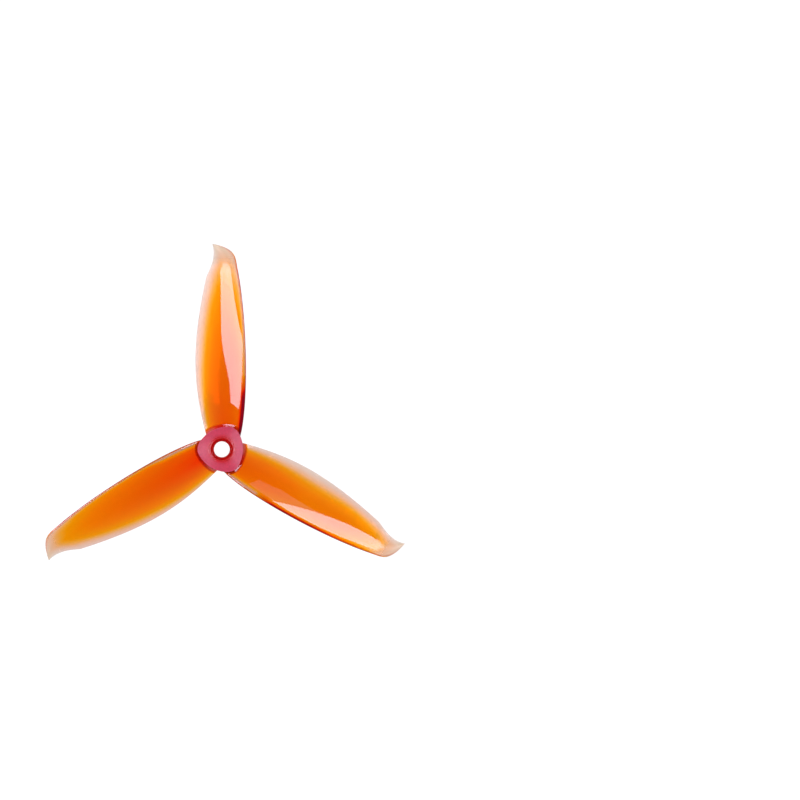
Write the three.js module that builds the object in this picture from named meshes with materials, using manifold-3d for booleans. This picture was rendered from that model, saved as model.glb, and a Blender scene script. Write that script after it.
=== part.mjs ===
// Three-bladed propeller for a small racing multirotor, moulded in translucent orange plastic.
// Millimetres, +Z up. The origin is on the shaft axis at the middle of the hub's height, and +Z
// points to the side that the lock nut bears on. Seen from +Z the propeller turns clockwise, so
// the thick, high leading edge of a blade is the one on its clockwise side.
// The moulding is modelled as its hub and its three blades, which meet at the hub's wall.

import * as THREE from 'three';
import { mergeVertices } from 'three/addons/utils/BufferGeometryUtils.js';
import Module from 'manifold-3d';

// Whole propeller
const DIAMETER = 129.5;
const PITCH = 132;
const BLADE_COUNT = 3;
const FIRST_BLADE_ANGLE = Math.PI / 2;

// Hub: round, with a low lobe where each leading edge grows out of its wall
const HUB_RADIUS = 6.75;
const LOBE_RISE = 0.95;
const LOBE_BEFORE_BLADE = Math.PI / 6;
const HUB_HEIGHT = 6.8;
const BORE_RADIUS = 2.5;
const CHAMFER_RADIUS = 3.15;
const CHAMFER_DEPTH = 0.5;
const LOWER_CHAMFER_RADIUS = 2.8;
const LOWER_CHAMFER_DEPTH = 0.3;
const RIM_ROUNDING = 0.4;
const RIM_STEPS = 3;
const HUB_SEGMENTS = 72;

// Blade outline seen from above, for a blade that points along +Y with its leading edge at +X.
// Each edge is a long curve from inside the hub, then a short one round to the hooked tip.
const TIP = [-3.05, 64.678];
const LEADING_EDGE = [
  [[5.5, 3.0], [8.75, 12.7], [8.05, 41.5], [4.9, 57.0]],
  [[4.9, 57.0], [4.2, 60.6], [4.5, 63.2], TIP],
];
const TRAILING_EDGE = [
  [[-4.6, 3.2], [-9.4, 20.2], [-9.7, 32.5], [-5.0, 54.0]],
  [[-5.0, 54.0], [-4.7, 55.3], [-1.5, 59.7], TIP],
];
const SPAN_STEPS = [26, 10];
const CHORD_STEPS = 11;

// Blade twist: the pitch helix outboard, eased to an even slope inboard and less at the root
const STEEPEST_SLOPE = 0.455;
const SLOPE_EASING = 6;
const ROOT_SLOPE_LOSS = 0.35;
const ROOT_SLOPE_FADE = 2;

// Height of the blade's twist line above the hub's middle: it leaves the hub low, rises to
// mid-blade, falls to the tip, and bends down over the last few millimetres
const ROOT_DROP = 0.8;
const ROOT_END = 15;
const MID_BLADE_LIFT = 0.55;
const MID_BLADE = 26;
const TIP_LIFT = -1.33;
const TIP_BEND_START = 57;
const TIP_BEND = 0.85;

// Blade section: camber as a share of the chord, fullest toward the leading edge, and thickness
const ROOT_CAMBER = 0.028;
const TIP_CAMBER = 0.055;
const CAMBER_SKEW = 0.5;
const ROOT_THICKNESS = 2.3;
const TIP_THICKNESS = 0.5;
const THICKNESS_FADE = 0.85;
const TRAILING_THICKNESS = 0.42;
const TRAILING_THINNING = 1.6;
const THICKEST_AT = 0.55;
const LEADING_THICKNESS_SHARE = 0.35;

// Gap between a blade's root and the hub wall that it grows out of
const JOINT_GAP = 0.3;

// Points closer together than this are one point
const MERGE_DISTANCE = 1e-5;

const plastic = () => new THREE.MeshStandardMaterial({
  color: 0xf07818, roughness: 0.15, metalness: 0, transparent: true, opacity: 0.85,
});
const hubPlastic = () => new THREE.MeshStandardMaterial({
  color: 0xd04a60, roughness: 0.4, metalness: 0, transparent: true, opacity: 0.9,
});

const smoothstep = THREE.MathUtils.smoothstep;
const lerp = THREE.MathUtils.lerp;

// How far the hub's wall stands from its axis, seen from above
function hubRadius(angle) {
  const lobeAngle = angle - FIRST_BLADE_ANGLE + LOBE_BEFORE_BLADE;
  const nearness = (1 + Math.cos(BLADE_COUNT * lobeAngle)) / 2;
  return HUB_RADIUS + LOBE_RISE * nearness ** 2;
}

// dz/dx of the blade at a radius: the helix slope, never steeper than STEEPEST_SLOPE
function bladeSlope(radius) {
  const helixSlope = PITCH / (2 * Math.PI * radius);
  const excess = (helixSlope / STEEPEST_SLOPE) ** SLOPE_EASING;
  const fromHub = Math.max(0, radius - HUB_RADIUS);
  const rootShare = 1 - ROOT_SLOPE_LOSS * Math.exp(-fromHub / ROOT_SLOPE_FADE);
  return rootShare * helixSlope / (1 + excess) ** (1 / SLOPE_EASING);
}

function bladeLift(radius) {
  const drop = ROOT_DROP * (1 - smoothstep(radius, HUB_RADIUS, ROOT_END));
  const rise = MID_BLADE_LIFT * smoothstep(radius, HUB_RADIUS, MID_BLADE) - drop;
  const outboard = smoothstep(radius, MID_BLADE, DIAMETER / 2);
  const bend = Math.max(0, (radius - TIP_BEND_START) / (DIAMETER / 2 - TIP_BEND_START));
  return lerp(rise, TIP_LIFT, outboard) - TIP_BEND * bend ** 2;
}

// Height of the section's middle line above its chord, for a chord of 1
function bladeCamber(share, radius) {
  const camber = lerp(ROOT_CAMBER, TIP_CAMBER, smoothstep(radius, HUB_RADIUS, DIAMETER / 2));
  return 4 * camber * share * (1 - share) * (1 + CAMBER_SKEW * (2 * share - 1));
}

// Thickness at a share of the chord, 0 at the trailing edge and 1 at the leading edge
function bladeThickness(share, radius) {
  const inboard = Math.max(0, 1 - radius / (DIAMETER / 2)) ** THICKNESS_FADE;
  const thickest = lerp(TIP_THICKNESS, ROOT_THICKNESS, inboard);
  const fullness = share < THICKEST_AT
    ? Math.sin(Math.PI / 2 * share / THICKEST_AT) ** TRAILING_THINNING
    : 1 - (1 - LEADING_THICKNESS_SHARE) * ((share - THICKEST_AT) / (1 - THICKEST_AT)) ** 2;
  return TRAILING_THICKNESS + (thickest - TRAILING_THICKNESS) * fullness;
}

// One loop of points round the blade between two points on its edges: over the top from the
// trailing edge to the leading edge, and back underneath.
function bladeSection(trailing, leading) {
  const chord = trailing.distanceTo(leading);
  const loop = [];
  for (let i = 0; i < 2 * CHORD_STEPS; i++) {
    const share = (1 - Math.cos(Math.PI * i / CHORD_STEPS)) / 2;
    const side = i < CHORD_STEPS ? 1 : -1;
    const place = trailing.clone().lerp(leading, share);
    const radius = place.length();
    const slope = bladeSlope(radius);
    const middle = bladeLift(radius) + slope * place.x + chord * bladeCamber(share, radius);
    const halfThickness = bladeThickness(share, radius) * Math.hypot(1, slope) / 2;
    const toEdge = Math.min(share, 1 - share) * chord / halfThickness;
    const rounding = toEdge < 1 ? Math.sqrt(toEdge * (2 - toEdge)) : 1;
    loop.push([place.x, place.y, middle + side * halfThickness * rounding]);
  }
  return loop;
}

// A closed skin through the section loops, with a flat root end and a pointed tip
function bladeGeometry() {
  const toVector = ([x, y]) => new THREE.Vector2(x, y);
  const toCurve = (points) => new THREE.CubicBezierCurve(...points.map(toVector));
  const leadingCurves = LEADING_EDGE.map(toCurve);
  const trailingCurves = TRAILING_EDGE.map(toCurve);
  const loops = [];
  SPAN_STEPS.forEach((steps, part) => {
    for (let i = 0; i < steps; i++) {
      const along = i / steps;
      loops.push(bladeSection(trailingCurves[part].getPoint(along), leadingCurves[part].getPoint(along)));
    }
  });
  const around = 2 * CHORD_STEPS;
  const positions = loops.flat(2);
  const tipRadius = Math.hypot(...TIP);
  positions.push(...TIP, bladeLift(tipRadius) + bladeSlope(tipRadius) * TIP[0]);

  const triangles = [];
  for (let ring = 0; ring < loops.length - 1; ring++) {
    for (let i = 0; i < around; i++) {
      const a = ring * around + i;
      const b = ring * around + (i + 1) % around;
      triangles.push(a, b, b + around, a, b + around, a + around);
    }
  }
  for (let i = 1; i < around - 1; i++) triangles.push(0, i + 1, i);
  const lastRing = (loops.length - 1) * around;
  for (let i = 0; i < around; i++) {
    triangles.push(lastRing + i, lastRing + (i + 1) % around, loops.length * around);
  }
  const geometry = new THREE.BufferGeometry();
  geometry.setAttribute('position', new THREE.Float32BufferAttribute(positions, 3));
  geometry.setIndex(triangles);
  return geometry;
}

// A round geometry about the axis with its outer wall pushed out to the hub's lobes
function lobed(geometry) {
  const position = geometry.attributes.position;
  for (let i = 0; i < position.count; i++) {
    const radius = Math.hypot(position.getX(i), position.getY(i));
    if (radius > HUB_RADIUS / 2) {
      const angle = Math.atan2(position.getY(i), position.getX(i));
      const stretch = 1 + (hubRadius(angle) - HUB_RADIUS) / radius;
      position.setX(i, stretch * position.getX(i));
      position.setY(i, stretch * position.getY(i));
    }
  }
  return geometry;
}

function hubGeometry() {
  const top = HUB_HEIGHT / 2;
  const rimCentre = HUB_RADIUS - RIM_ROUNDING;
  const profile = [
    [BORE_RADIUS, -top + LOWER_CHAMFER_DEPTH],
    [LOWER_CHAMFER_RADIUS, -top],
  ];
  for (let i = 0; i <= 2 * RIM_STEPS + 1; i++) {
    const upper = i > RIM_STEPS;
    const angle = (upper ? i - 1 : i) / (2 * RIM_STEPS) * Math.PI - Math.PI / 2;
    const rimMiddle = upper ? top - RIM_ROUNDING : RIM_ROUNDING - top;
    profile.push([rimCentre + RIM_ROUNDING * Math.cos(angle), rimMiddle + RIM_ROUNDING * Math.sin(angle)]);
  }
  profile.push([CHAMFER_RADIUS, top], [BORE_RADIUS, top - CHAMFER_DEPTH]);
  profile.push(profile[0]);
  const points = profile.map(([radius, height]) => new THREE.Vector2(radius, height));
  return lobed(new THREE.LatheGeometry(points, HUB_SEGMENTS).rotateX(Math.PI / 2));
}

const wasm = await Module();
wasm.setup();

// A closed geometry as a solid, with only its positions kept and shared points merged
function toSolid(geometry) {
  const bare = geometry.clone();
  bare.deleteAttribute('normal');
  bare.deleteAttribute('uv');
  const merged = mergeVertices(bare, MERGE_DISTANCE);
  return new wasm.Manifold(new wasm.Mesh({
    numProp: 3,
    vertProperties: new Float32Array(merged.attributes.position.array),
    triVerts: new Uint32Array(merged.index.array),
  }));
}

function toGeometry(solid) {
  const mesh = solid.getMesh();
  const geometry = new THREE.BufferGeometry();
  geometry.setAttribute('position', new THREE.BufferAttribute(mesh.vertProperties, 3));
  geometry.setIndex(new THREE.BufferAttribute(mesh.triVerts, 1));
  geometry.computeVertexNormals();
  return geometry;
}

function namedMesh(name, geometry, material) {
  const mesh = new THREE.Mesh(geometry, material);
  mesh.name = name;
  return mesh;
}

const propeller = new THREE.Group();
propeller.add(namedMesh('hub', hubGeometry(), hubPlastic()));

const spaceRadius = HUB_RADIUS + JOINT_GAP;
const spaceHeight = 2 * HUB_HEIGHT;
const hubSpace = new THREE.CylinderGeometry(spaceRadius, spaceRadius, spaceHeight, HUB_SEGMENTS);
const rootCutter = toSolid(lobed(hubSpace.rotateX(Math.PI / 2)));
const blade = toGeometry(toSolid(bladeGeometry()).subtract(rootCutter));

for (let i = 0; i < BLADE_COUNT; i++) {
  const mesh = namedMesh(`blade_${i + 1}`, blade, plastic());
  const angle = FIRST_BLADE_ANGLE + i * 2 * Math.PI / BLADE_COUNT;
  mesh.rotation.z = angle - Math.PI / 2;
  propeller.add(mesh);
}

export default propeller;
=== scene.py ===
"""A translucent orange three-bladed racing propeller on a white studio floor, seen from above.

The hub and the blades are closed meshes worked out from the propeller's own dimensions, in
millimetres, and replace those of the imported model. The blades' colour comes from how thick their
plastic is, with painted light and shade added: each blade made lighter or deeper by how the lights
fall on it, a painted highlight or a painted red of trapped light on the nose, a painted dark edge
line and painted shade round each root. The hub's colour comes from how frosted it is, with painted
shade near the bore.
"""
import math
import bpy
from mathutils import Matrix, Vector


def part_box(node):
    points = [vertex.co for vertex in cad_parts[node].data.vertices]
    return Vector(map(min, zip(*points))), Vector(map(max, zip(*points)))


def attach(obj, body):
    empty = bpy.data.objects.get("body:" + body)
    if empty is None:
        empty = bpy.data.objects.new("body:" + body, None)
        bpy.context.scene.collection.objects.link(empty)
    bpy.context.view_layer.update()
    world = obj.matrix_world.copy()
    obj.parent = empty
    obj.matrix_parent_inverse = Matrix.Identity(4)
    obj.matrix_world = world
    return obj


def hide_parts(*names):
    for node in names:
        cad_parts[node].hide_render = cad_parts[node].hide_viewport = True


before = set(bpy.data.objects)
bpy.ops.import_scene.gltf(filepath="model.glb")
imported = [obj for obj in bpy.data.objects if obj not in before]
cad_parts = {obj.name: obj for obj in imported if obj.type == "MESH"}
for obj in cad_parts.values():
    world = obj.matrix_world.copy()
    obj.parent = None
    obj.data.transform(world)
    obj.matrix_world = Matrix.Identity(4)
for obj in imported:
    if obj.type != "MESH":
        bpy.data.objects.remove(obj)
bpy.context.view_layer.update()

MM = 0.001

# Camera: straight above, with a long lens. The frame's width and centre, the lens and the sensor
# are in millimetres, and the distance that it sees to is in metres.
FRAME_WIDTH = 251.6
FRAME_CENTRE = (56.01, 15.5)
LENS = 1000.0
SENSOR = 36.0
FAR_CLIP = 20.0

# Lights: softboxes that hang level at a height in metres. Each has its name, its place over the
# floor, the angle that it is turned by, its size and its radiance in units of the white floor's.
# Places and sizes are shares of the height.
SOFTBOX_HEIGHT = 0.7
SOFTBOX_COLOUR = (0.88, 0.80, 1.0)
SOFTBOXES = (
    ("left_softbox", (-0.80, 0.225), 0.98, (0.60, 0.92), 7.9),
    ("right_softbox", (0.63, 0.35), 0.56, (0.72, 0.50), 7.9),
    ("reflector", (0.35, 0.63), 0.56, (0.50, 0.30), 0.8),
)

# Grey of the room by how high one looks, from 0 at the horizon to 1 straight up: white low down and
# dark overhead
ROOM_GREYS = ((0.10, 1.0), (0.20, 0.22), (0.35, 0.10), (0.65, 0.02))

# Floor: its half width in metres, its grey, and how far in millimetres it lies below the hub, so
# that the two flat faces aren't in one plane
FLOOR_REACH = 4.0
FLOOR_GREY = 0.1
FLOOR_GAP = 0.02

# Whole propeller, in millimetres
TIP_RADIUS = 64.75
PITCH = 132.0
BLADE_COUNT = 3

# Hub, in millimetres: round, with a low lobe where each leading edge grows out of its wall
HUB_LOW, HUB_HIGH = (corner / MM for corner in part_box("hub"))
HUB_RADIUS = 6.75
HUB_TOP = HUB_HIGH.z
LOBE_RISE = 0.95
LOBE_ANGLE = math.radians(60)
BORE_RADIUS = 2.5
CHAMFER_RADIUS = 3.05
CHAMFER_DEPTH = 0.5
LAND_RADIUS = 3.4
LAND_DEPTH = 0.1
LOWER_CHAMFER = 0.3
RIM_ROUNDING = 0.18
EDGE_ROUNDING = 0.05
ARC_STEPS = 6
ARC_MARGIN = 1.2
MARK_SPACING = 0.26
MARK_DEPTH = 0.036
MARK_MARGIN = 0.1
MARK_STEPS = 8
HUB_SEGMENTS = 240

# How frosted the hub's plastic is: its outer wall, and its top from the land out to FROSTED_FROM.
# The top's frost is real, but its fall toward the land is painted shade, a deeper red round the bore.
WALL_FROST = 0.3
TOP_FROST_AND_SHADE = (0.6, 1.0)
FROSTED_FROM = 5.0

# Blade outline seen from above, for a blade along +Y with its leading edge at +X: each edge is a
# long curve from inside the hub, then a short one round to the hooked tip.
TIP = (-3.05, 64.678)
LEADING_EDGE = (
    ((5.5, 3.0), (8.75, 12.7), (8.05, 41.5), (4.9, 57.0)),
    ((4.9, 57.0), (4.2, 60.6), (4.5, 63.2), TIP),
)
TRAILING_EDGE = (
    ((-4.6, 3.2), (-9.4, 20.2), (-9.7, 32.5), (-5.0, 54.0)),
    ((-5.0, 54.0), (-4.7, 55.3), (-1.5, 59.7), TIP),
)
LONG_STEPS = 300
TIP_STEPS = 90
CHORD_STEPS = 44
CROSSING_STEPS = 40

# Blade twist and height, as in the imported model, but with the tip's bend spread more evenly
STEEPEST_SLOPE = 0.455
SLOPE_EASING = 6
ROOT_SLOPE_LOSS = 0.35
ROOT_SLOPE_FADE = 2.0
ROOT_DROP = 0.8
ROOT_END = 15.0
MID_BLADE_LIFT = 0.55
MID_BLADE = 26.0
TIP_LIFT = -1.33
TIP_BEND_START = 57.0
TIP_BEND = 0.85

# Blade section: camber as a share of the chord, and thickness
ROOT_CAMBER = 0.028
TIP_CAMBER = 0.055
CAMBER_SKEW = 0.5
ROOT_THICKNESS = 2.3
TIP_THICKNESS = 0.5
THICKNESS_FADE = 0.85
TRAILING_THICKNESS = 0.28
TRAILING_THINNING = 1.6
THICKEST_AT = 0.55
LEADING_THICKNESS_SHARE = 0.35

# How a blade grows out of the hub
ROOT_OVERLAP = 0.15
ROOT_CURVE_END = 0.25
FILLET = 1.0
FILLET_SLOPE = 0.55
FILLET_CLEARANCE = 0.1

# How deep the blades' colour is, in millimetres of plastic, and the colour that it then has. The
# depth is the thickness times a factor, which is greatest at the axis and falls toward the tip. The
# painted light and shade below also work on this depth.
DEEPEST = 4.0
DEPTH_AT_AXIS = 1.33
DEPTH_LOST_PER_MM = 0.012
PALE_TIP = (57.0, 66.5)
PALE_TIP_LOSS = 0.6
COLOUR_AT_DEPTH = (
    (0.12, (0.78, 0.69, 0.74)),
    (0.20, (0.80, 0.61, 0.65)),
    (0.30, (0.83, 0.52, 0.46)),
    (0.39, (0.85, 0.45, 0.19)),
    (0.47, (0.87, 0.41, 0.04)),
    (0.53, (0.89, 0.35, 0.0)),
    (0.83, (0.92, 0.25, 0.0)),
    (1.14, (0.90, 0.205, 0.0)),
    (1.52, (0.87, 0.165, 0.0)),
    (2.20, (0.90, 0.105, 0.0)),
    (2.85, (0.95, 0.015, 0.0)),
    # From here on the depth is reached only by painted light and shade: the nose's red and the dark edge
    # line
    (3.20, (0.60, 0.006, 0.004)),
    (4.00, (0.30, 0.002, 0.02)),
)
# Share of that depth in each blade's inner and outer half, and the radii that it changes between.
# The blades are one plastic, so these shares are painted light: the first blade is made paler for how
# the lights fall on it, and the third blade's pale inner half is a painted reflection.
BLADE_LIGHTING_DEPTHS = ((0.68, 0.80), (0.98, 1.0), (0.50, 0.95))
DEPTH_CHANGES = (28.0, 52.0)

# Painted light on a blade's leading edge, its nose: deep red where it stands for light kept inside the
# plastic by internal reflection, and pale where it stands for the lamps' highlight on the rounded
# nose, by its depth at the root, in the middle and at the tip. The two changes between them are
# ranges of radius. The nose is wider at the root, and both its colour and its haze fade inward, from
# and to a share of its width.
NOSE_WIDTHS = (2.4, 1.3)
NOSE_CHORD_SHARE = 0.2
NOSE_FADE = (0.3, 1.0)
NOSE_LIGHT_DEPTHS = ((3.9, 0.34, 0.29), (0.33, 0.36, 0.31), (0.33, 3.5, 0.30))
NOSE_CHANGES = ((17.0, 25.0), (34.0, 60.0))
NOSE_HAZE = 0.7
TIP_HAZE = 0.5
HAZE_FADE = (0.12, 0.62)

# Painted shade: the very edge of the nose is a thin dark line, for the dark of internal reflection
# there, which fades over this distance from the edge
EDGE_SHADE_LINE = (0.1, 0.36)
EDGE_SHADE_DEPTH = 4.0

# Painted shade: round each root, where the blade meets the hub wall, is a hazy deep red band,
# deepest in its middle
ROOT_SHADE_WIDTHS = (1.4, 1.1)
ROOT_SHADE_FADE_START = 0.4
ROOT_SHADE_DEPTHS = (2.2, 2.85)
ROOT_SHADE_HAZE = 0.45

# Roughness that the polished surface gains underneath and toward the tips
MATT_UNDERSIDE = 0.075
MATT_TIP = 0.3
MATT_TIP_RANGE = (54.0, 63.0)

# The plastic: its refractive index, and how it colours light on the way through, as the colour that
# passes and a density per metre
PLASTIC_IOR = 1.585
BLADE_ABSORPTION = ((0.97, 0.75, 0.0), 900)
HUB_ABSORPTION = ((0.985, 0.05, 0.0), 1000)

# Blade surface: flow lines by their scale over the tip radius, how little they change along the
# blade, how much they change its depth of colour and its roughness, and low waves in its polish,
# with their height in metres
FLOW_SCALE = 60
FLOW_DETAIL = 3
FLOW_STRETCH = 0.12
FLOW_RANGE = (0.3, 0.7)
STREAK_DEPTHS = (0.95, 1.05)
STREAK_ROUGHNESS = (0.02, 0.07)
WAVE_SCALE = 160
WAVE_DETAIL = 1
WAVE_HEIGHT = 4e-6

# Hub surface: its colour by how frosted it is, where the less frosted top near the land is painted
# shade, its grain, with its height in metres, and its clearness and roughness from unfrosted to frosted
COLOUR_AT_FROST = (
    (0.0, (0.80, 0.008, 0.006)),
    (WALL_FROST, (0.94, 0.07, 0.008)),
    (TOP_FROST_AND_SHADE[0], (0.97, 0.048, 0.05)),
    (TOP_FROST_AND_SHADE[1], (0.99, 0.088, 0.165)),
)
GRAIN_SCALE = 1600
GRAIN_DETAIL = 3
GRAIN_HEIGHT = 6e-6
GRAIN_COLOUR_SHARE = 0.35
FROST_CLEARNESS = (0.8, 0.3)
FROST_ROUGHNESS = (0.08, 0.35)


def lerp(a, b, share):
    return a + (b - a) * share


def smoothstep(value, start, end):
    share = min(max((value - start) / (end - start), 0.0), 1.0)
    return share * share * (3 - 2 * share)


def bezier(points, t):
    weights = ((1 - t) ** 3, 3 * (1 - t) ** 2 * t, 3 * (1 - t) * t * t, t ** 3)
    return Vector((sum(w * p[0] for w, p in zip(weights, points)),
                   sum(w * p[1] for w, p in zip(weights, points))))


def hub_radius(angle):
    """How far the hub's wall stands from its axis, seen from above."""
    nearness = (1 + math.cos(BLADE_COUNT * (angle - LOBE_ANGLE))) / 2
    return HUB_RADIUS + LOBE_RISE * nearness ** 2


def past_hub(place):
    """How far outside the hub's wall a place is."""
    return place.length - hub_radius(math.atan2(place.y, place.x))


def blade_slope(radius):
    """dz/dx of the blade at a radius: the helix slope, never steeper than STEEPEST_SLOPE."""
    helix_slope = PITCH / (2 * math.pi * radius)
    excess = (helix_slope / STEEPEST_SLOPE) ** SLOPE_EASING
    from_hub = max(0.0, radius - HUB_RADIUS)
    root_share = 1 - ROOT_SLOPE_LOSS * math.exp(-from_hub / ROOT_SLOPE_FADE)
    return root_share * helix_slope / (1 + excess) ** (1 / SLOPE_EASING)


def blade_lift(radius):
    """Height of the blade's middle line: low at the hub, highest at MID_BLADE, bent down at the tip."""
    drop = ROOT_DROP * (1 - smoothstep(radius, HUB_RADIUS, ROOT_END))
    rise = MID_BLADE_LIFT * smoothstep(radius, HUB_RADIUS, MID_BLADE) - drop
    bend = TIP_BEND * smoothstep(radius, TIP_BEND_START, TIP_RADIUS)
    return lerp(rise, TIP_LIFT, smoothstep(radius, MID_BLADE, TIP_RADIUS)) - bend


def blade_camber(share, radius):
    """Height of the section's middle line above its chord, for a chord of 1."""
    camber = lerp(ROOT_CAMBER, TIP_CAMBER, smoothstep(radius, HUB_RADIUS, TIP_RADIUS))
    return 4 * camber * share * (1 - share) * (1 + CAMBER_SKEW * (2 * share - 1))


def blade_thickness(share, radius):
    """Thickness at a share of the chord, 0 at the trailing edge and 1 at the leading edge."""
    inboard = max(0.0, 1 - radius / TIP_RADIUS) ** THICKNESS_FADE
    thickest = lerp(TIP_THICKNESS, ROOT_THICKNESS, inboard)
    if share < THICKEST_AT:
        fullness = math.sin(math.pi / 2 * share / THICKEST_AT) ** TRAILING_THINNING
    else:
        past = (share - THICKEST_AT) / (1 - THICKEST_AT)
        fullness = 1 - (1 - LEADING_THICKNESS_SHARE) * past ** 2
    return TRAILING_THICKNESS + (thickest - TRAILING_THICKNESS) * fullness


def fillet_rise(distance, room):
    """How far the concave fillet stands up at a distance from the hub wall, at most by the room."""
    steepness = max(0.0, min(FILLET_SLOPE, 2 * room / FILLET))
    nearness = 1 - min(max(distance, 0.0) / FILLET, 1.0)
    return steepness * FILLET / 2 * nearness ** 2


def edge_rounding(share, chord, half):
    """Share of the full thickness that is left where an edge of the blade is rounded."""
    to_edge = min(share, 1 - share) * chord / half
    return math.sqrt(to_edge * (2 - to_edge)) if to_edge < 1 else 1.0


def blade_point(place, share, chord, side):
    """A point on the blade's top (side 1) or underside (side -1) over a place."""
    radius = place.length
    slope = blade_slope(radius)
    middle = blade_lift(radius) + slope * place.x + chord * blade_camber(share, radius)
    half = blade_thickness(share, radius) * math.hypot(1, slope) / 2
    rounding = edge_rounding(share, chord, half)
    room = HUB_TOP - FILLET_CLEARANCE - side * middle - half
    rise = fillet_rise(past_hub(place), room)
    return Vector((place.x, place.y, middle + side * (half + rise) * rounding))


def nose_shares(share, chord, radius):
    """Shares of the nose's own colour and of its haze, from 1 at the leading edge to 0 inside."""
    width = lerp(*NOSE_WIDTHS, smoothstep(radius, *NOSE_CHANGES[0]))
    from_edge = (1 - share) * chord / min(width, NOSE_CHORD_SHARE * chord)
    return 1 - smoothstep(from_edge, *NOSE_FADE), 1 - smoothstep(from_edge, *HAZE_FADE)


def nose_light_depth(number, radius):
    root, middle, tip = NOSE_LIGHT_DEPTHS[number]
    inner, outer = (smoothstep(radius, *change) for change in NOSE_CHANGES)
    return lerp(lerp(root, middle, inner), tip, outer)


def blade_colour(place, share, chord, number):
    """How deep the plastic's colour is at a place on a blade, and how much of the light there is
    scattered inside it. Besides the thickness, the depth carries painted light and shade: each
    blade's share for how the lights fall on it, the nose's painted highlight or painted red of
    trapped light, the painted dark edge line and the painted shade round the root."""
    radius = place.length
    wall = blade_thickness(share, radius)
    depth = wall * edge_rounding(share, chord, wall / 2) * (DEPTH_AT_AXIS - DEPTH_LOST_PER_MM * radius)
    depth *= 1 - PALE_TIP_LOSS * smoothstep(radius, *PALE_TIP)
    # Painted light: each blade's own share, paler where the light falls differently or a soft reflection
    # lies
    depth *= lerp(*BLADE_LIGHTING_DEPTHS[number], smoothstep(radius, *DEPTH_CHANGES))

    # Painted light on the nose: deep red for light kept inside by internal reflection, pale for the
    # lamps' highlight
    nose, nose_haze = nose_shares(share, chord, radius)
    depth = depth ** (1 - nose) * nose_light_depth(number, radius) ** nose
    inboard = 1 - smoothstep(radius, *MATT_TIP_RANGE)
    # Painted shade: a thin dark line along the very edge of the nose
    edge_shade = inboard * (1 - smoothstep((1 - share) * chord, *EDGE_SHADE_LINE))
    depth = lerp(depth, max(depth, EDGE_SHADE_DEPTH), edge_shade)

    # Painted shade: a deep red band round the root where the blade meets the hub wall
    width = lerp(*ROOT_SHADE_WIDTHS, share)
    root = 1 - smoothstep(past_hub(place), ROOT_SHADE_FADE_START * width, width)
    root_shade_depth = lerp(*ROOT_SHADE_DEPTHS, math.sin(math.pi * share))
    depth = max(depth, lerp(depth, root_shade_depth, root))
    return depth, max(NOSE_HAZE * nose_haze * lerp(TIP_HAZE, 1, inboard), ROOT_SHADE_HAZE * root)


def added_roughness(place, side):
    tip = MATT_TIP * smoothstep(place.length, *MATT_TIP_RANGE)
    return max(tip, MATT_UNDERSIDE if side < 0 else 0.0)


def crossing(curve):
    """Where an edge curve comes out through the hub wall, found by halving its first half."""
    low, high = 0.0, 0.5
    for _ in range(CROSSING_STEPS):
        middle = (low + high) / 2
        if past_hub(bezier(curve, middle)) < -ROOT_OVERLAP:
            low = middle
        else:
            high = middle
    return low


def blade_places():
    """Rows of places seen from above, from the root to just before the tip. Each row runs from
    the trailing edge to the leading edge, and comes with its chord."""
    edges = (TRAILING_EDGE, LEADING_EDGE)
    starts = [crossing(edge[0]) for edge in edges]
    shares = [(1 - math.cos(math.pi * i / CHORD_STEPS)) / 2 for i in range(CHORD_STEPS + 1)]
    corners = [bezier(edge[0], start) for edge, start in zip(edges, starts)]
    angles = [math.atan2(corner.y, corner.x) for corner in corners]
    bulge = []
    for share in shares:
        angle = lerp(*angles, share)
        on_wall = (hub_radius(angle) - ROOT_OVERLAP) * Vector((math.cos(angle), math.sin(angle)))
        bulge.append(on_wall - corners[0].lerp(corners[1], share))
    rows = []
    for part, steps in enumerate((LONG_STEPS, TIP_STEPS)):
        for i in range(steps):
            along = i / steps
            ends = [bezier(edge[part], lerp(start if part == 0 else 0.0, 1, along))
                    for edge, start in zip(edges, starts)]
            fade = max(0.0, 1 - along / ROOT_CURVE_END) ** 2 if part == 0 else 0.0
            row = [ends[0].lerp(ends[1], share) + fade * push for share, push in zip(shares, bulge)]
            rows.append((row, (ends[1] - ends[0]).length))
    return shares, rows


def add_object(name, points, faces, material, **values):
    """An object at the row's origin from points in millimetres, smooth. Each of the values is a
    list with a number for each point, kept as an attribute for the material."""
    mesh = bpy.data.meshes.new(name)
    mesh.from_pydata([tuple(MM * c for c in p) for p in points], [], faces)
    mesh.validate()
    for label, numbers in values.items():
        mesh.attributes.new(label, "FLOAT", "POINT").data.foreach_set("value", numbers)
    mesh.shade_smooth()
    mesh.update()
    mesh.materials.append(material)
    piece = bpy.data.objects.new(name, mesh)
    bpy.context.collection.objects.link(piece)
    return piece


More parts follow.
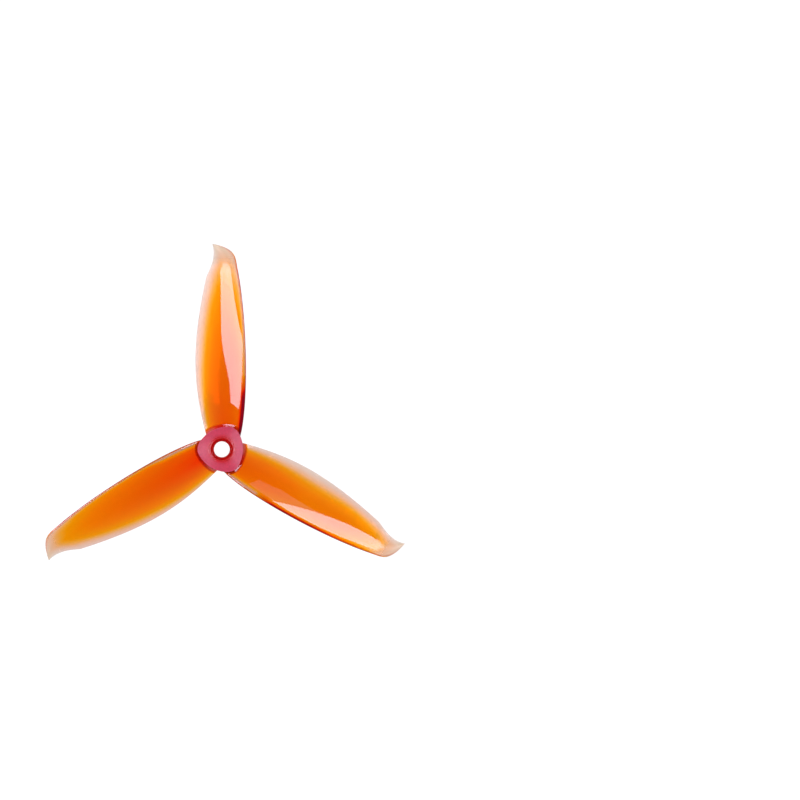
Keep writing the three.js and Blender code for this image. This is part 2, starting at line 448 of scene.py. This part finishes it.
def make_blade(name, number, material):
    shares, rows = blade_places()
    points, depths, hazes, matts, faces = [], [], [], [], []
    around = 2 * CHORD_STEPS
    for row, chord in rows:
        for i in range(around):
            column = i if i <= CHORD_STEPS else around - i
            side = 1 if i <= CHORD_STEPS else -1
            points.append(blade_point(row[column], shares[column], chord, side))
            depth, haze = blade_colour(row[column], shares[column], chord, number)
            depths.append(depth / DEEPEST)
            hazes.append(haze)
            matts.append(added_roughness(row[column], side))
    tip_radius = math.hypot(*TIP)
    points.append(Vector((*TIP, blade_lift(tip_radius) + blade_slope(tip_radius) * TIP[0])))
    depths.append(0.0)
    hazes.append(0.0)
    matts.append(MATT_TIP)

    # The skin between the rows, then the pointed tip, then the closed end inside the hub
    for ring in range(len(rows) - 1):
        for i in range(around):
            a, b = ring * around + i, ring * around + (i + 1) % around
            faces.append((a, b, b + around, a + around))
    last = (len(rows) - 1) * around
    for i in range(around):
        faces.append((last + i, last + (i + 1) % around, len(points) - 1))
    faces.append((1, 0, around - 1))
    for i in range(1, CHORD_STEPS - 1):
        faces.append((i + 1, i, around - i, around - i - 1))
    faces.append((CHORD_STEPS, CHORD_STEPS - 1, CHORD_STEPS + 1))

    alongs = [point.y / TIP_RADIUS for point in points]
    acrosses = [point.x / TIP_RADIUS for point in points]
    angle = number * 2 * math.pi / BLADE_COUNT
    cos, sin = math.cos(angle), math.sin(angle)
    points = [Vector((cos * p.x - sin * p.y, sin * p.x + cos * p.y, p.z)) for p in points]
    return add_object(name, points, faces, material,
                      depth=depths, haze=hazes, matt=matts, along=alongs, across=acrosses)


def rounded(corners):
    """A closed outline from (across, up, rounding) corners, with each corner rounded by an arc and
    a point close before and after it, so that the flats between them stay flat when shaded."""
    outline = []
    count = len(corners)
    for i, (across, up, rounding) in enumerate(corners):
        corner = Vector((across, up))
        before = Vector(corners[i - 1][:2]) - corner
        after = Vector(corners[(i + 1) % count][:2]) - corner
        half_turn = before.angle(after) / 2
        reach = rounding / math.tan(half_turn)
        into, out = before.normalized(), after.normalized()
        centre = corner + (into + out).normalized() * rounding / math.sin(half_turn)
        start, end = corner + into * reach - centre, corner + out * reach - centre
        outline.append(corner + into * ARC_MARGIN * reach)
        for step in range(ARC_STEPS + 1):
            share = step / ARC_STEPS
            outline.append(centre + rounding * start.lerp(end, share).normalized())
        outline.append(corner + out * ARC_MARGIN * reach)
    return outline


def hub_corners():
    """The corners of the hub's wall section, anticlockwise: radius, height and rounding."""
    fine = EDGE_ROUNDING
    return [
        (BORE_RADIUS, -HUB_TOP + LOWER_CHAMFER, fine),
        (BORE_RADIUS + LOWER_CHAMFER, -HUB_TOP, fine),
        (HUB_RADIUS, -HUB_TOP, RIM_ROUNDING),
        (HUB_RADIUS, HUB_TOP, RIM_ROUNDING),
        (LAND_RADIUS + LAND_DEPTH, HUB_TOP, fine / 2),
        (LAND_RADIUS, HUB_TOP - LAND_DEPTH, fine / 2),
        (CHAMFER_RADIUS, HUB_TOP - LAND_DEPTH, fine),
        (BORE_RADIUS, HUB_TOP - CHAMFER_DEPTH, fine),
    ]


def turning_marks():
    """Fine round grooves in the hub's top face, from its rim in to the land."""
    outer = HUB_RADIUS - RIM_ROUNDING - MARK_MARGIN
    inner = LAND_RADIUS + LAND_DEPTH + MARK_MARGIN
    steps = MARK_STEPS * round((outer - inner) / MARK_SPACING)
    marks = []
    for i in range(steps + 1):
        cut = MARK_DEPTH * (1 - math.cos(2 * math.pi * i / MARK_STEPS)) / 2
        marks.append(Vector((lerp(outer, inner, i / steps), HUB_TOP - cut)))
    return marks


def make_hub(name, material):
    profile = rounded(hub_corners())
    upper_rim = [i for i, (radius, height) in enumerate(profile) if radius > FROSTED_FROM and height > 0]
    after_rim = upper_rim[-1] + 1
    profile[after_rim:after_rim] = turning_marks()
    points, frosts, faces = [], [], []
    for i in range(HUB_SEGMENTS):
        angle = 2 * math.pi * i / HUB_SEGMENTS
        for radius, height in profile:
            flat = 1 - smoothstep(HUB_TOP - abs(height), MARK_DEPTH, LAND_DEPTH)
            # Less frost toward the land: painted shade, a deeper red round the bore
            frost = lerp(*TOP_FROST_AND_SHADE, smoothstep(radius, LAND_RADIUS, FROSTED_FROM))
            frosts.append(lerp(WALL_FROST if radius > LAND_RADIUS else 0.0, frost, flat))
            lobe = hub_radius(angle) - HUB_RADIUS
            radius += lobe * smoothstep(radius, LAND_RADIUS, HUB_RADIUS - RIM_ROUNDING)
            points.append((radius * math.cos(angle), radius * math.sin(angle), height))
    count = len(profile)
    for i in range(HUB_SEGMENTS):
        here, after = i * count, (i + 1) % HUB_SEGMENTS * count
        for j in range(count):
            k = (j + 1) % count
            faces.append((here + j, after + j, after + k, here + k))
    return add_object(name, points, faces, material, frost=frosts)


def new_material(name):
    material = bpy.data.materials.new(name)
    material.use_nodes = True
    return material, material.node_tree.nodes, material.node_tree.links


def add_absorption(nodes, links, colour, density):
    """Plain absorption inside the plastic, which deepens its colour where light goes far."""
    absorption = nodes.new("ShaderNodeVolumeAbsorption")
    absorption.inputs["Color"].default_value = (*colour, 1)
    absorption.inputs["Density"].default_value = density
    links.new(absorption.outputs[0], nodes["Material Output"].inputs["Volume"])


def attribute(nodes, label):
    node = nodes.new("ShaderNodeAttribute")
    node.attribute_name = label
    return node.outputs["Fac"]


def object_space(nodes):
    return nodes.new("ShaderNodeTexCoord").outputs["Object"]


def noise(nodes, links, source, scale, detail):
    node = nodes.new("ShaderNodeTexNoise")
    node.inputs["Scale"].default_value = scale
    node.inputs["Detail"].default_value = detail
    links.new(source, node.inputs["Vector"])
    return node.outputs["Fac"]


def bump(nodes, links, height, distance):
    node = nodes.new("ShaderNodeBump")
    node.inputs["Distance"].default_value = distance
    links.new(height, node.inputs["Height"])
    return node.outputs["Normal"]


def map_range(nodes, links, source, to, start=0.0, end=1.0):
    """A value brought from the range between start and end to the range given by to."""
    node = nodes.new("ShaderNodeMapRange")
    node.inputs["From Min"].default_value = start
    node.inputs["From Max"].default_value = end
    node.inputs["To Min"].default_value = to[0]
    node.inputs["To Max"].default_value = to[1]
    links.new(source, node.inputs["Value"])
    return node.outputs[0]


def combine(nodes, links, operation, first, second):
    node = nodes.new("ShaderNodeMath")
    node.operation = operation
    links.new(first, node.inputs[0])
    links.new(second, node.inputs[1])
    return node.outputs[0]


def colour_ramp(nodes, links, source, colours):
    """A colour for a value from 0 to 1, by (value, colour) stops in rising order."""
    node = nodes.new("ShaderNodeValToRGB")
    stops = node.color_ramp.elements
    for stop, (value, colour) in zip((stops[0], stops[1]), (colours[0], colours[-1])):
        stop.position = value
        stop.color = (*colour, 1)
    for value, colour in colours[1:-1]:
        stops.new(value).color = (*colour, 1)
    links.new(source, node.inputs["Fac"])
    return node.outputs["Color"]


def blade_plastic():
    """Clear plastic, coloured by its depth, which holds painted light and shade besides the thickness,
    with faint flow lines running out from the hub.
    """
    material, nodes, links = new_material("blade_plastic")
    shader = nodes["Principled BSDF"]
    shader.inputs["IOR"].default_value = PLASTIC_IOR

    flow = nodes.new("ShaderNodeCombineXYZ")
    links.new(attribute(nodes, "across"), flow.inputs["X"])
    stretched = map_range(nodes, links, attribute(nodes, "along"), (0.0, FLOW_STRETCH))
    links.new(stretched, flow.inputs["Y"])
    lines = noise(nodes, links, flow.outputs[0], FLOW_SCALE, FLOW_DETAIL)

    streaks = map_range(nodes, links, lines, STREAK_DEPTHS, *FLOW_RANGE)
    depth = combine(nodes, links, "MULTIPLY", attribute(nodes, "depth"), streaks)
    stops = [(millimetres / DEEPEST, colour) for millimetres, colour in COLOUR_AT_DEPTH]
    links.new(colour_ramp(nodes, links, depth, stops), shader.inputs["Base Color"])

    waves = noise(nodes, links, object_space(nodes), WAVE_SCALE, WAVE_DETAIL)
    links.new(bump(nodes, links, waves, WAVE_HEIGHT), shader.inputs["Normal"])
    polish = map_range(nodes, links, lines, STREAK_ROUGHNESS)
    roughness = combine(nodes, links, "ADD", attribute(nodes, "matt"), polish)
    links.new(roughness, shader.inputs["Roughness"])
    clearness = map_range(nodes, links, attribute(nodes, "haze"), (1.0, 0.0))
    links.new(clearness, shader.inputs["Transmission Weight"])
    add_absorption(nodes, links, *BLADE_ABSORPTION)
    return material


def hub_plastic():
    """Deep red clear plastic, hazy pink on its flat faces with painted shade toward the bore, with a
    fine grain.
    """
    material, nodes, links = new_material("hub_plastic")
    shader = nodes["Principled BSDF"]
    shader.inputs["IOR"].default_value = PLASTIC_IOR
    frost = attribute(nodes, "frost")
    grain = noise(nodes, links, object_space(nodes), GRAIN_SCALE, GRAIN_DETAIL)

    mottled = nodes.new("ShaderNodeMix")
    mottled.data_type = "RGBA"
    mottled.blend_type = "MULTIPLY"
    mottled.inputs["Factor"].default_value = GRAIN_COLOUR_SHARE
    links.new(colour_ramp(nodes, links, frost, COLOUR_AT_FROST), mottled.inputs["A"])
    links.new(grain, mottled.inputs["B"])
    links.new(mottled.outputs["Result"], shader.inputs["Base Color"])

    links.new(map_range(nodes, links, frost, FROST_CLEARNESS), shader.inputs["Transmission Weight"])
    links.new(map_range(nodes, links, frost, FROST_ROUGHNESS), shader.inputs["Roughness"])
    links.new(bump(nodes, links, grain, GRAIN_HEIGHT), shader.inputs["Normal"])
    add_absorption(nodes, links, *HUB_ABSORPTION)
    return material


def make_floor():
    """A white floor that shines as brightly as the background, and barely takes other light."""
    material, nodes, links = new_material("white_floor")
    shader = nodes["Principled BSDF"]
    shader.inputs["Base Color"].default_value = (FLOOR_GREY, FLOOR_GREY, FLOOR_GREY, 1)
    shader.inputs["Roughness"].default_value = 1.0
    shader.inputs["Specular IOR Level"].default_value = 0.0
    shader.inputs["Emission Color"].default_value = (1, 1, 1, 1)
    shader.inputs["Emission Strength"].default_value = 1.0
    reach = FLOOR_REACH / MM
    height = HUB_LOW.z - FLOOR_GAP
    corners = [(x * reach, y * reach, height) for x, y in ((-1, -1), (1, -1), (1, 1), (-1, 1))]
    add_object("floor", corners, [(0, 1, 2, 3)], material)


def add_softbox(name, place, turn, size, radiance):
    light = bpy.data.lights.new(name, "AREA")
    light.shape = "RECTANGLE"
    light.color = SOFTBOX_COLOUR
    light.size, light.size_y = (SOFTBOX_HEIGHT * length for length in size)
    light.energy = radiance * math.pi * light.size * light.size_y
    lamp = bpy.data.objects.new(name, light)
    bpy.context.collection.objects.link(lamp)
    lamp.location = SOFTBOX_HEIGHT * Vector((*place, 1))
    lamp.rotation_euler.z = turn
    lamp.visible_camera = False


def make_world():
    world = bpy.data.worlds.new("studio")
    bpy.context.scene.world = world
    world.use_nodes = True
    nodes, links = world.node_tree.nodes, world.node_tree.links
    split = nodes.new("ShaderNodeSeparateXYZ")
    links.new(nodes.new("ShaderNodeTexCoord").outputs["Generated"], split.inputs[0])
    stops = [(height, (grey, grey, grey)) for height, grey in ROOM_GREYS]
    room = colour_ramp(nodes, links, split.outputs["Z"], stops)
    links.new(room, nodes["Background"].inputs["Color"])


def make_camera():
    """Straight above, so far up that the frame is FRAME_WIDTH wide at the hub."""
    data = bpy.data.cameras.new("camera")
    data.lens, data.sensor_width = LENS, SENSOR
    data.clip_end = FAR_CLIP
    camera = bpy.data.objects.new("camera", data)
    bpy.context.collection.objects.link(camera)
    camera.location = MM * Vector((*FRAME_CENTRE, FRAME_WIDTH * LENS / SENSOR))
    bpy.context.scene.camera = camera


make_camera()
make_world()
make_floor()
for softbox in SOFTBOXES:
    add_softbox(*softbox)

hub = make_hub("propeller_hub", hub_plastic())
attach(hub, "root")
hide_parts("hub")

plastic = blade_plastic()
for number in range(BLADE_COUNT):
    blade = make_blade(f"propeller_blade_{number + 1}", number, plastic)
    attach(blade, "root")
    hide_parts(f"blade_{number + 1}")

bpy.context.scene.view_settings.view_transform = "Standard"
